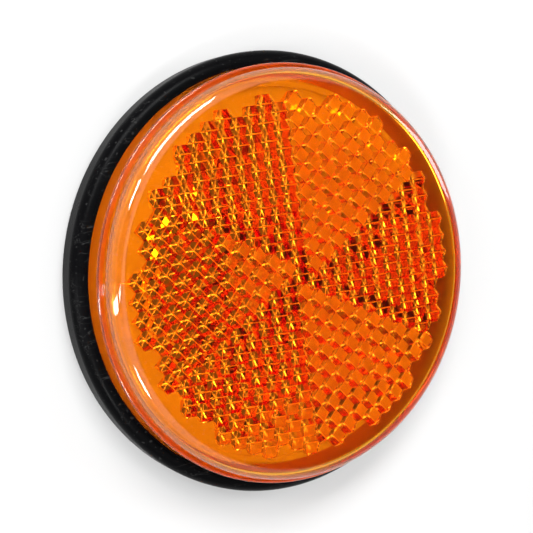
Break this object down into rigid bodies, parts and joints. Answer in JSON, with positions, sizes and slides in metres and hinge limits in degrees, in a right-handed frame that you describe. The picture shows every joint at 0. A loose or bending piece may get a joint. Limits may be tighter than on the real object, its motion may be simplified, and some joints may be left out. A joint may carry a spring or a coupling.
{
  "type": "round reflector",
  "caption": "Round stick-on reflector: a clear amber lens with a field of cube-corner prisms on its back, closed by a pale back plate and standing proud of a low black housing with a rounded shoulder.",
  "frame": {"origin": "middle of the back, on the surface that the reflector lies on", "axes": "+Z out through the front of the lens, +Y towards the top of the prism pattern, along the line where two of its six sectors meet"},
  "size_m": [0.06, 0.06, 0.0106],
  "materials": {
    "housing": "black moulded plastic, satin",
    "back_plate": "pale moulded plastic, satin",
    "lens": "clear amber moulded plastic, polished, with sharp prisms on its back",
    "adhesive_pad": "dark closed-cell foam tape",
    "release_liner": "waxed paper"
  },
  "bodies": {
    "root": {"housing": "housing", "back_plate": "back_plate", "lens": "lens", "adhesive_pad": "adhesive_pad", "release_liner": "release_liner"}
  },
  "joints": []
}
